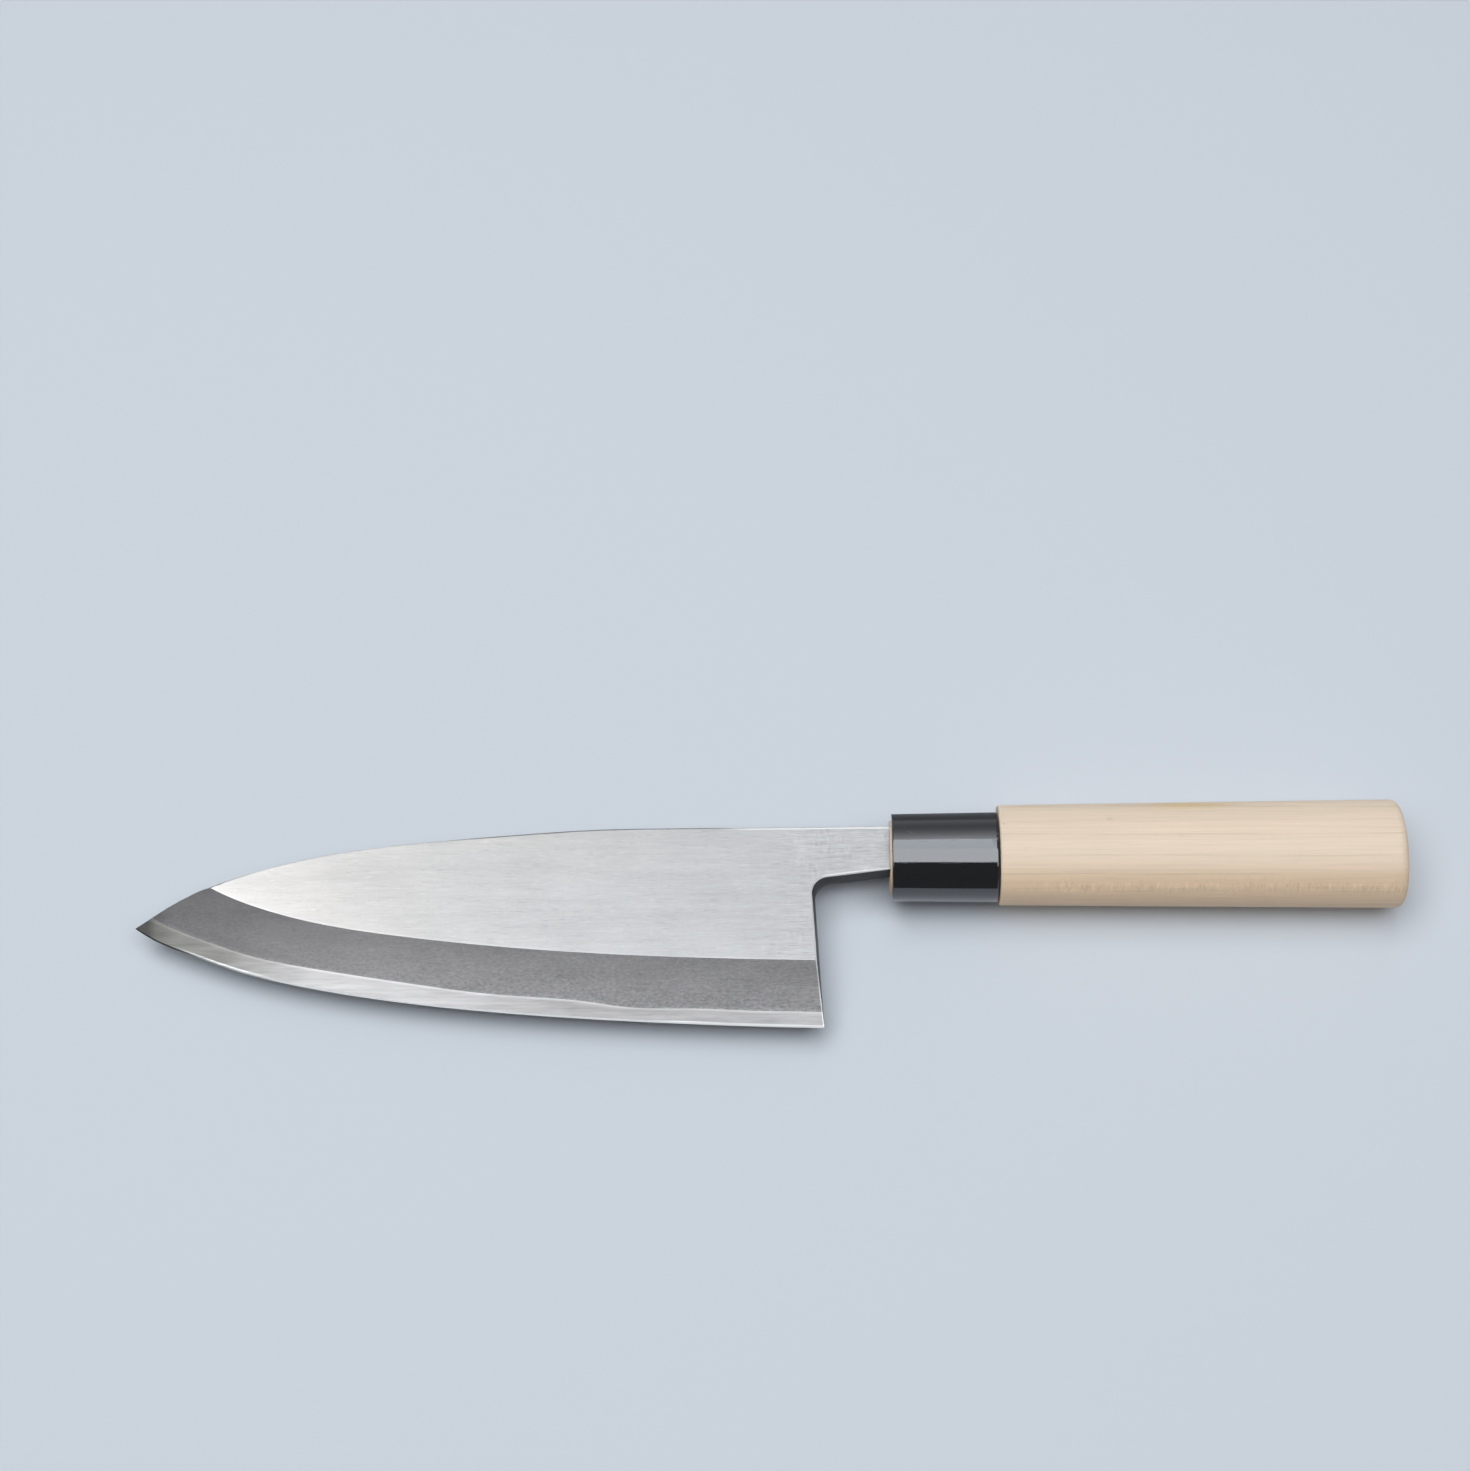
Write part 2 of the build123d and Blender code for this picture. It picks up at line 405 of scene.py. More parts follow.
class Wire:
    """A socket of a material that is being made. Arithmetic on wires adds Math nodes."""

    def __init__(self, tree, node, name):
        self.tree = tree
        self.made = node
        self.name = name

    @property
    def socket(self):
        return self.made.outputs[self.name]

    def output(self, name):
        """Another output of the same node."""
        return Wire(self.tree, self.made, name)

    def math(self, operation, *values):
        return self.tree.node("ShaderNodeMath", {"operation": operation}, dict(enumerate(values)))

    def __add__(self, other):
        return self.math("ADD", self, other)

    __radd__ = __add__

    def __sub__(self, other):
        return self.math("SUBTRACT", self, other)

    def __rsub__(self, other):
        return self.math("SUBTRACT", other, self)

    def __mul__(self, other):
        return self.math("MULTIPLY", self, other)

    __rmul__ = __mul__

    def __truediv__(self, other):
        return self.math("DIVIDE", self, other)

    def __abs__(self):
        return self.math("ABSOLUTE", self)

    def floor(self):
        return self.math("FLOOR", self)

    def least(self, value):
        """The wire, kept at this value where it would be lower."""
        return self.math("MAXIMUM", self, value)

    def vary(self, share, base):
        """This share of the wire, about a base."""
        return self * share + base

    def power(self, exponent):
        return self.math("POWER", self, exponent)

    def ramp(self, low, high, start=0.0, end=1.0):
        """Smooth step from start to end as the wire goes from low to high."""
        sockets = {"Value": self, "From Min": low, "From Max": high, "To Min": start, "To Max": end}
        return self.tree.node("ShaderNodeMapRange", {"interpolation_type": "SMOOTHSTEP"}, sockets)

    def near(self, centre, reach):
        """1 at the centre, smoothly down to 0 at this reach on either side."""
        return abs(self - centre).ramp(0.0, reach, 1.0, 0.0)


class Tree:
    """The node tree of a material or of the world. Every node comes from node()."""

    def __init__(self, owner):
        owner.use_nodes = True
        self.tree = owner.node_tree
        self.tree.nodes.clear()

    def node(self, kind, settings, sockets, output=0):
        """Adds a node, makes its settings first, then gives its sockets their values or links."""
        made = self.tree.nodes.new(kind)
        for name, value in settings.items():
            if name == "curve":
                bend(made.mapping, value)
            else:
                setattr(made, name, value)
        for name, value in sockets.items():
            if isinstance(value, Wire):
                self.tree.links.new(value.socket, made.inputs[name])
            else:
                made.inputs[name].default_value = value
        return Wire(self, made, output)

    def place(self):
        """Position on the knife in metres."""
        return self.node("ShaderNodeTexCoord", {}, {}, "Object")

    def normal(self):
        """The bare face normal."""
        return self.node("ShaderNodeNewGeometry", {}, {}, "True Normal")

    def split(self, vector):
        """X, Y and Z of a vector."""
        parts = self.node("ShaderNodeSeparateXYZ", {}, {0: vector})
        return parts, parts.output("Y"), parts.output("Z")

    def vector(self, operation, first, second, output=0):
        return self.node("ShaderNodeVectorMath", {"operation": operation}, {0: first, 1: second}, output)

    def grain(self, vector, grain):
        """Noise about 0, from -0.5 to 0.5, or the marks that the grain's blend makes of it."""
        cells = self.vector("MULTIPLY", vector, (1 / grain.length, 1 / grain.width, 1 / grain.width))
        sockets = {"Vector": cells, "Scale": 1.0, "Detail": grain.detail, "Roughness": grain.roughness}
        noise = self.node("ShaderNodeTexNoise", {"noise_dimensions": "3D"}, sockets) - NOISE_MIDDLE
        return noise.ramp(*grain.blend) if grain.blend else noise

    def grains(self, vector, grains):
        """The same for each grain of a table, under its name."""
        return {name: self.grain(vector, grain) for name, grain in grains.items()}

    def edge(self, radius, blend):
        """1 within a radius of an edge, where the rounded normal leaves the bare one, and 0 on a flat."""
        rounded = self.node("ShaderNodeBevel", {"samples": EDGE_SAMPLES}, {"Radius": radius})
        return self.vector("DOT_PRODUCT", rounded, self.normal(), "Value").ramp(*blend)

    def mix(self, share, first, second, blend="MIX"):
        """Colour between first and second."""
        settings = {"data_type": "RGBA", "blend_type": blend}
        sockets = {"Factor": share, MIX_FIRST: first, MIX_SECOND: second}
        return self.node("ShaderNodeMix", settings, sockets, MIX_RESULT)

    def shade(self, colour, share):
        """Colour times a number."""
        grey = self.node("ShaderNodeCombineColor", {}, {0: share, 1: share, 2: share})
        return self.mix(1.0, colour, grey, "MULTIPLY")

    def bump(self, height, depth):
        """Normal that a height of 1 gives when it stands for this depth in metres."""
        return self.node("ShaderNodeBump", {}, {"Height": height, "Strength": 1.0, "Distance": depth})

    def follow(self, along, line):
        """Y in metres of a line across the blade, at this X."""
        share = (along - line.first) / (line.last - line.first)
        bent = self.node("ShaderNodeFloatCurve", {"curve": line.points}, {"Value": share})
        return bent * (line.high - line.low) + line.low

    def principled(self, sockets):
        return self.node("ShaderNodeBsdfPrincipled", {}, sockets)

    def close(self, shader):
        """Ends the tree with this shader."""
        self.node("ShaderNodeOutputMaterial", {}, {"Surface": shader})


def bend(mapping, points):
    """Gives a curve its points, with straight runs between them."""
    curve = mapping.curves[0]
    while len(curve.points) < len(points):
        curve.points.new(0.5, 0.5)
    for point, place in zip(curve.points, points):
        point.location = place
        point.handle_type = "VECTOR"
    mapping.update()


class BladeTree(Tree):
    """A material of the blade. It keeps its place, the facing of its faces and its marks at hand."""

    def __init__(self, owner, look, grains, stroke_roughness):
        super().__init__(owner)
        self.look = look
        # The colour of painted highlights on edges, lines and glints.
        self.polished = tuple(look.edge_highlight)
        place = self.place()
        self.along, self.across = self.split(place)[:2]
        self.facing, self.rise = self.split(self.normal())[1:]
        stroke = Grain(look.stroke_length, look.stroke_width, STROKE_DETAIL, stroke_roughness)
        self.marks = self.grains(place, {"stroke": stroke, **grains})

    def line(self, node, rises, stations, pick):
        """Y of a border of a node's faces, at this X."""
        return self.follow(self.along, border(node, rises, stations, pick))

    def heel_highlight(self):
        """Mask of a painted highlight: 1 in a thin line beside the heel, which leans back up the bevel."""
        past_heel = self.along - Heel.x + (self.across - Heel.y) * Heel.lean
        return past_heel.ramp(*Heel.line)


def total(marks, shares):
    """Sum of the marks that are named in the shares, each times its share."""
    return sum(marks[name] * share for name, share in shares.items())


def spot_mark(along, across, spot):
    """The strength of a spot at its middle, smoothly down to 0 at its reach."""
    shape = along.near(spot.along, spot.reach_along) * across.near(spot.across, spot.reach_across)
    return shape * spot.strength


def wear(node, material):
    """Gives a CAD node its finish."""
    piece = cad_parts[node]
    piece.data.materials.clear()
    piece.data.materials.append(material)


def triangles(node):
    """Corner places and unit normals of a node's triangles."""
    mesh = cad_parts[node].data
    mesh.calc_loop_triangles()
    places = np.empty(len(mesh.vertices) * 3)
    mesh.vertices.foreach_get("co", places)
    corners = np.empty(len(mesh.loop_triangles) * 3, dtype=np.int32)
    mesh.loop_triangles.foreach_get("vertices", corners)
    faces = places.reshape(-1, 3)[corners].reshape(-1, 3, 3)
    normals = np.cross(faces[:, 1] - faces[:, 0], faces[:, 2] - faces[:, 0])
    sizes = np.linalg.norm(normals, axis=1, keepdims=True)
    whole = sizes[:, 0] > 0
    return faces[whole], normals[whole] / sizes[whole]


def border(node, rises, stations, pick):
    """The border, across the blade, of a node's faces whose normals rise between two values.

    At each station along X, it cuts every side of those faces and picks the highest or lowest Y.
    """
    least, most = rises
    first, last = stations
    faces, normals = triangles(node)
    chosen = faces[(normals[:, 2] > least) & (normals[:, 2] < most)]
    start = chosen.reshape(-1, 3)
    end = chosen[:, [1, 2, 0]].reshape(-1, 3)
    places = np.linspace(first, last, Stations.count)
    heights = []
    for station in places:
        cut = (start[:, 0] - station) * (end[:, 0] - station) < 0
        share = (station - start[cut, 0]) / (end[cut, 0] - start[cut, 0])
        heights.append(pick(start[cut, 1] + share * (end[cut, 1] - start[cut, 1])))
    heights = np.array(heights)
    low, high = float(heights.min()), float(heights.max())
    points = np.column_stack(((places - first) / (last - first), (heights - low) / (high - low)))
    return Line(first, last, low, high, points.tolist())


def colour_property(name, description, default):
    return bpy.props.FloatVectorProperty(
        name=name, description=description, default=default, size=4, subtype="COLOR", min=0.0, max=1.0
    )


def length_property(name, description, default):
    return bpy.props.FloatProperty(
        name=name, description=description, default=default, subtype="DISTANCE", unit="LENGTH"
    )


def share_property(name, description, default):
    return bpy.props.FloatProperty(
        name=name, description=description, default=default, subtype="FACTOR", min=0.0, max=1.0
    )


class DEBA_PG_blade(bpy.types.PropertyGroup):
    """Finishes of the forged blade."""

    upper_face: colour_property("Upper face", "Brushed iron above the bevel line", (0.405, 0.401, 0.403, 1))
    upper_warm: colour_property("Warm tint", "Upper face toward the spine", (0.422, 0.405, 0.394, 1))
    upper_roughness: share_property("Upper face roughness", "Roughness of the brushed face", 0.50)
    misted_bevel: colour_property("Misted bevel", "Matte soft iron of the bevel", (0.271, 0.264, 0.268, 1))
    misted_roughness: share_property("Misted bevel roughness", "Roughness of the bevel", 0.65)
    # Painted shade: dark colour of the sides that face the front.
    side: colour_property("Sides", "Neck and heel sides", (0.065, 0.063, 0.062, 1))
    # Painted highlight: colour of the eased edges and of bright lines and glints on the blade.
    edge_highlight: colour_property("Polished edge", "Eased edges that catch the light", (0.92, 0.92, 0.92, 1))
    hard_steel: colour_property("Hard steel", "Bright band along the edge", (0.320, 0.311, 0.312, 1))
    # Painted shade: darker steel toward the tip.
    shaded_tip: colour_property("Hard steel tip", "Darker steel toward the tip", (0.154, 0.152, 0.143, 1))
    stroke_length: length_property("Stroke length", "Length of a brush mark", 4.5 * MM)
    stroke_width: length_property("Stroke width", "Width of a brush mark", 0.28 * MM)


class DEBA_PG_ring(bpy.types.PropertyGroup):
    """Finish of the ring."""

    black: colour_property("Black", "Polished black", (0.006, 0.006, 0.0065, 1))
    scratched: colour_property("Scratched", "Bottom of a scratch in the polish", (0.09, 0.09, 0.095, 1))
    dried_resin: colour_property("Dried resin", "Specks at the joint with the wood", (0.16, 0.13, 0.14, 1))
    roughness: share_property("Roughness", "Roughness of the polish", 0.07)


class DEBA_PG_handle(bpy.types.PropertyGroup):
    """Finish of the wood and of what beds the tang."""

    pale_wood: colour_property("Pale wood", "Early wood of the grip", (0.835, 0.675, 0.527, 1))
    warm_lit_wood: colour_property("Warm wood", "Wood of the warmer layers", (0.856, 0.631, 0.430, 1))
    # Painted light: a warmer tint for the lower, near side of the grip.
    dark_wood: colour_property("Dark wood", "Thin late wood lines", (0.52, 0.38, 0.24, 1))
    stained_wood: colour_property("Stained wood", "Yellow stain along the upper side", (0.80, 0.60, 0.34, 1))
    ring_spacing: length_property("Ring spacing", "Distance between growth rings", 4.2 * MM)
    resin: colour_property("Resin", "Resin round the tang", (0.06, 0.035, 0.02, 1))


class DEBA_PG_stage(bpy.types.PropertyGroup):
    """Table, lights and camera, in the knife's frame."""

    floor: colour_property("Floor", "Pale blue-grey table", (0.661, 0.698, 0.752, 1))
    backdrop: colour_property("Backdrop", "What the camera sees beyond the table", (0.597, 0.651, 0.716, 1))
    camera_place: bpy.props.FloatVectorProperty(
        name="Camera place", description="Where the camera stands",
        default=(-20.14 * MM, -217.4 * MM, 524.6 * MM), subtype="TRANSLATION", unit="LENGTH",
    )
    camera_aim: bpy.props.FloatVectorProperty(
        name="Camera aim", description="Direction in which the camera looks",
        default=(-0.02974, 0.42975, -0.90246), subtype="DIRECTION", precision=5,
    )
    camera_up: bpy.props.FloatVectorProperty(
        name="Camera up", description="Upward direction of the picture",
        default=(0.00562, 0.90291, 0.42978), subtype="DIRECTION", precision=5,
    )
    focal_pixels: bpy.props.FloatProperty(
        name="Focal length", description="Focal length in pixels of the photograph", default=2380.0
    )
    lamp_height: length_property("Lamp height", "Height of the soft boxes over the table", 1.60)


def brushed_colour(tree, ridge, spine, neck_low):
    """The upper face: brush marks over a tint that is warm toward the spine and the tip, with painted
    highlights.
    """
    along, across = tree.along, tree.across
    marks = {**tree.marks, "cross": tree.marks["cross"] * tree.marks["cross_patch"]}
    neck = along.ramp(*Brushed.neck)
    on_blade = along.ramp(*Brushed.heel_fade)
    above_ridge = across - ridge
    ridge_line = above_ridge.near(*Brushed.near_ridge) * marks["blotch"].vary(*Brushed.ridge_vary)
    # Painted highlight just above the bevel line.
    ridge_highlight = (above_ridge.ramp(*Brushed.low_glow) + ridge_line) * on_blade
    pale = sum(spot_mark(along, across, spot) for spot in Brushed.pale_spots)
    brushed = total(marks, Brushed.shares) + total(marks, Brushed.neck_shares) * neck + pale + ridge_highlight + 1

    warm = across.ramp(*Brushed.warm_across) * along.ramp(*Brushed.warm_along)
    warm = (warm * marks["blotch"].vary(*Brushed.warm_vary)).least(along.ramp(*Brushed.warm_tip))
    tint = tree.mix(warm, tuple(tree.look.upper_face), tuple(tree.look.upper_warm))
    # Painted highlight: brighter toward the tip.
    toward_tip = ((Brushed.lift_start - along) / Brushed.lift_length).least(0.0)
    tip_brightening = toward_tip.power(Brushed.tip_power) * Brushed.tip_light + toward_tip * Brushed.lift_light
    level = tip_brightening + neck * Brushed.neck_light + Brushed.level

    # Painted highlights along the spine and the neck's lower edge.
    spine_line = (across - spine).ramp(*Brushed.spine_line) * along.ramp(*Brushed.spine_line_start)
    neck_line = (across - neck_low).ramp(*Brushed.neck_line) * along.ramp(*Brushed.neck_line_start)
    painted_shine = spine_line * Brushed.spine_light + neck_line * Brushed.neck_line_light
    return tree.mix(painted_shine * (marks["cloud"] + 1), tree.shade(tint, brushed * level), tree.polished)


def misted_colour(tree, ridge, weld):
    """The bevel: specks and pits on matte iron, lighter down to the weld, with painted shade toward the tip
    and a painted highlight line beside the heel.
    """
    along, across, marks = tree.along, tree.across, tree.marks
    down = (ridge - across) / (ridge - weld)
    above_weld = across - weld - marks["cloud"] * Misted.weld_wander
    fringe = above_weld.ramp(*Misted.weld_fringe) * marks["speck"].vary(*Misted.fringe_vary)
    specks = marks["speck"] * down.ramp(*Misted.specks_down) * along.ramp(*Misted.specks_along)
    strokes = marks["stroke"] * along.ramp(*Misted.heel_strokes)
    mist = specks + strokes + total(marks, Misted.shares) + down.ramp(*Misted.down_light) + fringe + 1
    # Painted shade: darker toward the tip and at the point.
    mist = mist * along.ramp(*Misted.toward_tip) * along.ramp(*Misted.point)
    colour = tree.shade(tuple(tree.look.misted_bevel), mist)
    return tree.mix(tree.heel_highlight() * (marks["cloud"] + Heel.light_on_iron), colour, tree.polished)


def plain_colour(tree):
    """The sides, with painted shade where they face the front, and steel-coloured on the back and the spine.
    """
    dark = tree.shade(tuple(tree.look.side), total(tree.marks, Iron.side_shares) + 1)
    bright = tree.shade(tuple(tree.look.hard_steel), total(tree.marks, Iron.back_shares) + 1)
    return tree.mix(tree.rise.ramp(*Faces.back) + tree.facing.ramp(*Faces.spine), dark, bright)


def eased_highlight(tree):
    """Painted highlight on the eased edges, at the heel and toward the tip."""
    highlight_share = tree.along.ramp(*Iron.highlight_at_heel) + tree.along.ramp(*Iron.highlight_at_tip)
    return tree.shade(tree.polished, highlight_share * tree.marks["cloud"].vary(*Iron.highlight_vary))


class DEBA_OT_blade_body(bpy.types.Operator):
    """Soft iron: brushed upper face, misted bevel, plain sides and eased edges, with painted highlights and
    shade
    """

    bl_idname = "deba.blade_body"
    bl_label = "Blade Body"

    def execute(self, context):
        look = context.scene.deba_blade
        material = bpy.data.materials.new("soft_iron")
        tree = BladeTree(material, look, {**Brushed.grains, **Misted.grains}, Brushed.stroke_roughness)
        ridge = tree.line("blade_body", Faces.wholly_upper, Stations.ridge, np.min)
        weld = tree.line("cutting_steel", Faces.wholly_bevel, Stations.weld, np.max)
        spine = tree.line("blade_body", Faces.wholly_upper, Stations.spine, np.max)
        neck_low = tree.line("blade_body", Faces.wholly_upper, Stations.neck, np.min)

        past_spine = (tree.across - spine).ramp(*Iron.past_spine) * tree.along.ramp(*Iron.past_spine_start)
        upper = tree.rise.ramp(*Faces.upper)
        sloped = tree.rise.ramp(*Faces.bevel) * (1 - upper)
        bevel = sloped * (1 - past_spine)
        eased = tree.rise.ramp(*Faces.eased) * tree.rise.ramp(*Faces.eased_end) + sloped * past_spine
        side = 1 - upper - bevel - eased

        colour = tree.mix(bevel, plain_colour(tree), misted_colour(tree, ridge, weld))
        # Painted highlight: eased edges are a bright white that is not metallic.
        colour = tree.mix(eased, colour, eased_highlight(tree))
        colour = tree.mix(upper, colour, brushed_colour(tree, ridge, spine, neck_low))
        stroke, speck = tree.marks["stroke"], tree.marks["speck"]
        roughness = upper * look.upper_roughness + bevel * look.misted_roughness
        roughness = roughness + eased * Iron.eased_roughness + side * Iron.side_roughness
        tree.close(tree.principled({
            "Base Color": colour, "Metallic": 1 - eased,
            "Roughness": roughness + stroke * Iron.stroke_roughening,
            "Normal": tree.bump(stroke + speck * bevel, Iron.relief),
        }))
        wear("blade_body", material)
        return {"FINISHED"}


class DEBA_OT_cutting_steel(bpy.types.Operator):
    """Hard steel: the bright band along the edge and the hollow-ground back, with painted glints and shade"""

    bl_idname = "deba.cutting_steel"
    bl_label = "Cutting Steel"

    def execute(self, context):
        look = context.scene.deba_blade
        material = bpy.data.materials.new("hard_steel")
        tree = BladeTree(material, look, Steel.grains, Steel.stroke_roughness)
        along, across, rise = tree.along, tree.across, tree.rise
        stroke, streak = tree.marks["stroke"], tree.marks["streak"]
        weld = tree.line("cutting_steel", Faces.wholly_bevel, Stations.weld, np.max)
        edge = tree.line("cutting_steel", Faces.wholly_bevel, Stations.edge, np.min)
        front = rise.ramp(*Faces.front)
        keen = front * rise.ramp(*Faces.eased_end)

        # Painted shade toward the tip and in the middle of the blade.
        tip = (along + tree.marks["cloud"] * Steel.tip_wander).ramp(*Steel.toward_tip) * front
        middle = along.near(*Steel.near_middle) * front * Steel.middle_dark
        tone = total(tree.marks, Steel.shares) + (weld - across).ramp(*Steel.weld_fringe) - middle + 1
        tone = tone * along.ramp(*Steel.dark_tip) * along.ramp(*Steel.point)
        colour = tree.shade(tree.mix(tip, tuple(look.hard_steel), tuple(look.shaded_tip)), tone)
        # Painted highlight on the keen edge, fading to a dark line toward the tip.
        colour = tree.mix(keen, colour, tree.shade(tree.polished, along.ramp(*Steel.keen_highlight)))

        # Painted highlights: glints along the edge near the tip and the heel, and the line beside the heel.
        tip_glint = (across - edge).ramp(*Steel.tip_glint) * along.near(*Steel.near_tip_glint)
        heel_glint = (across - edge).ramp(*Steel.heel_glint) * along.ramp(*Steel.heel_glint_start)
        painted_glint = tip_glint * (streak + Steel.tip_glint_light) + heel_glint * (streak + Steel.heel_glint_light)
        painted_glint = painted_glint + tree.heel_highlight() * Heel.light_on_steel
        colour = tree.mix(painted_glint * front, colour, tree.polished)
        # Painted shade: steel sides that face the front are dark.
        shaded_flank = abs(rise).ramp(*Faces.shaded_flank) * (1 - tree.facing.ramp(*Faces.spine))
        colour = tree.mix(shaded_flank, colour, tree.shade(tuple(look.side), stroke.vary(*Steel.shaded_flank_vary)))
        roughness = stroke * Steel.stroke_roughening + keen * Steel.keen_roughening + Steel.roughness
        tree.close(tree.principled({
            "Base Color": colour, "Metallic": 1.0, "Roughness": roughness,
            "Normal": tree.bump(stroke, Steel.relief),
        }))
        wear("cutting_steel", material)
        return {"FINISHED"}


class DEBA_OT_ring(bpy.types.Operator):
    """The polished black oval ring, with a dull strip of painted shade on its far top"""

    bl_idname = "deba.ring"
    bl_label = "Ring"

    def execute(self, context):
        look = context.scene.deba_ring
        material = bpy.data.materials.new("black_ring")
        tree = Tree(material)
        place = tree.place()
        along, across, up = tree.split(place)
        top = up.ramp(*Polish.top)
        marks = tree.grains(place, Polish.grains)
        slanted = (across + along * Polish.slant).near(*Polish.near_slanted)
        marks["slanted"] = slanted * along.near(*Polish.near_slanted_along) * top
        marks["scored"] = total(marks, Polish.scored_shares)
        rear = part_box("ferrule")[1].x
        by_the_wood = along.ramp(rear - Polish.crust_start, rear - Polish.crust_full)
        marks["crust"] = marks["crust"] * by_the_wood * across.near(*Polish.near_crust_across) * top
        far_side = tree.split(tree.normal())[1]
        # Painted shade: a matte strip along the far top darkens the ring's reflection there.
        shade_band = far_side.ramp(*Polish.dull_start) * far_side.ramp(*Polish.dull_end) * top

        colour = tree.mix(marks["scored"], tuple(look.black), tuple(look.scratched))
        polish = tree.principled({
            "Base Color": tree.mix(marks["crust"], colour, tuple(look.dried_resin)),
            "Roughness": total(marks, Polish.roughening) + look.roughness,
            "IOR": Polish.refraction, "Specular IOR Level": 1.0, "Specular Tint": Polish.gloss_tint,
            "Coat Weight": 1 - marks["crust"], "Coat Roughness": Polish.coat_roughness,
            "Normal": tree.bump(total(marks, Polish.relief_shares), Polish.relief),
        })
        dull = tree.principled({
            "Base Color": tuple(look.black), "Roughness": Polish.dull_roughness,
            "Specular IOR Level": Polish.dull_gloss,
        })
        dull_share = shade_band * Polish.dull_share
        tree.close(tree.node("ShaderNodeMixShader", {}, {0: dull_share, 1: polish, 2: dull}))
        wear("ferrule", material)
        return {"FINISHED"}


def growth_lines(depth, spacing, start, end):
    """Lines at this spacing through the depth of the wood. Each rises over start and falls over end."""
    layer = depth / spacing
    phase = layer - layer.floor()
    return phase.ramp(*start) * phase.ramp(*end)


class DEBA_OT_handle(bpy.types.Operator):
    """The bare wooden grip and its tenon"""

    bl_idname = "deba.handle"
    bl_label = "Handle"

    def execute(self, context):
        look = context.scene.deba_handle
        material = bpy.data.materials.new("bare_wood")
        tree = Tree(material)
        place = tree.place()
        along, across, up = tree.split(place)
        marks = tree.grains(place, Wood.grains)
        depth = across * Wood.depth_across + up * Wood.depth_up + marks["warp"] * Wood.depth_warp
        depth = depth + Wood.depth_shift
        spacing = look.ring_spacing
        marks["late"] = growth_lines(depth, spacing, Wood.late, Wood.late_end)
        fine = growth_lines(depth, spacing * Wood.fine_spacing_share, Wood.fine, Wood.fine_end)
        flecked = depth.near(*Wood.near_flecks) * along.ramp(*Wood.flecks_along)
        flecked = flecked * marks["figure"].vary(*Wood.flecks_vary)
        marks["light_fleck"] = marks["fleck"].ramp(*Wood.light_fleck) * flecked
        marks["dark_fleck"] = marks["fleck"].ramp(*Wood.dark_fleck) * flecked
        stain = spot_mark(along, across, Wood.stain) * marks["thread"].vary(*Wood.stain_vary)
        knots = sum(spot_mark(along, across, knot) for knot in Wood.knots) * up.ramp(*Wood.top)

        # Painted light: the lower, near side of the grip is warmer.
        tone = tree.mix(depth.ramp(*Wood.warm), tuple(look.pale_wood), tuple(look.warm_lit_wood))
        tone = tree.mix(stain * up.ramp(*Wood.stain_up), tone, tuple(look.stained_wood))
        dark = marks["late"] * marks["patchy"].vary(*Wood.late_vary)
        dark = dark + fine * marks["patchy"] * Wood.fine_share + total(marks, Wood.dark_shares) + knots
        colour = tree.mix(dark, tone, tuple(look.dark_wood))
        steps = depth.ramp(*Wood.upper_step) + depth.ramp(*Wood.lower_step)
        # Painted highlight: a pale line along the wood's edges.
        rim_highlight = tree.edge(Wood.rim_radius, Wood.rim_highlight) * Wood.rim_light
        end_grain = abs(tree.split(tree.normal())[0]).ramp(*Wood.end_grain)
        end = end_grain * marks["fibre"].vary(*Wood.end_vary)
        light = total(marks, Wood.light_shares) + steps + rim_highlight + end + 1
        tree.close(tree.principled({
            "Base Color": tree.shade(colour, light), "Roughness": marks["fibre"].vary(*Wood.roughness_vary),
            "Normal": tree.bump(total(marks, Wood.relief_shares), Wood.relief),
        }))
        wear("handle", material)
        return {"FINISHED"}


class DEBA_OT_resin(bpy.types.Operator):
    """What beds the tang in the handle"""

    bl_idname = "deba.resin"
    bl_label = "Resin"

    def execute(self, context):
        look = context.scene.deba_handle
        material = bpy.data.materials.new("resin")
        tree = Tree(material)
        lumps = tree.grain(tree.place(), Lumps.grain)
        tree.close(tree.principled({
            "Base Color": tree.shade(tuple(look.resin), lumps.vary(*Lumps.vary)),
            "Roughness": Lumps.roughness, "Normal": tree.bump(lumps, Lumps.relief),
        }))
        wear("tang_resin", material)
        return {"FINISHED"}


def set_table(look, level):
    """Lays a pale table under the knife. Far off, the camera sees it pass into the backdrop."""
    half = Room.table_half
    corners = [(half * i, half * j, level) for i, j in ((-1, -1), (1, -1), (1, 1), (-1, 1))]
    mesh = bpy.data.meshes.new("table_top")
    mesh.from_pydata(corners, [], [(0, 1, 2, 3)])
    table_top = bpy.data.objects.new("table_top", mesh)
    bpy.context.scene.collection.objects.link(table_top)
    material = bpy.data.materials.new("table_paper")
    tree = Tree(material)
    paper = tree.principled({
        "Base Color": tuple(look.floor), "Roughness": Room.table_roughness,
        "Specular IOR Level": Room.table_gloss,
    })
    far_off = tree.vector("LENGTH", tree.place(), (0.0, 0.0, 0.0), "Value").ramp(*Room.table_fade)
    haze = tree.node("ShaderNodeEmission", {}, {"Color": tuple(look.backdrop), "Strength": 1.0})
    seen = tree.node("ShaderNodeLightPath", {}, {}, "Is Camera Ray")
    tree.close(tree.node("ShaderNodeMixShader", {}, {0: far_off * seen, 1: paper, 2: haze}))
    mesh.materials.append(material)


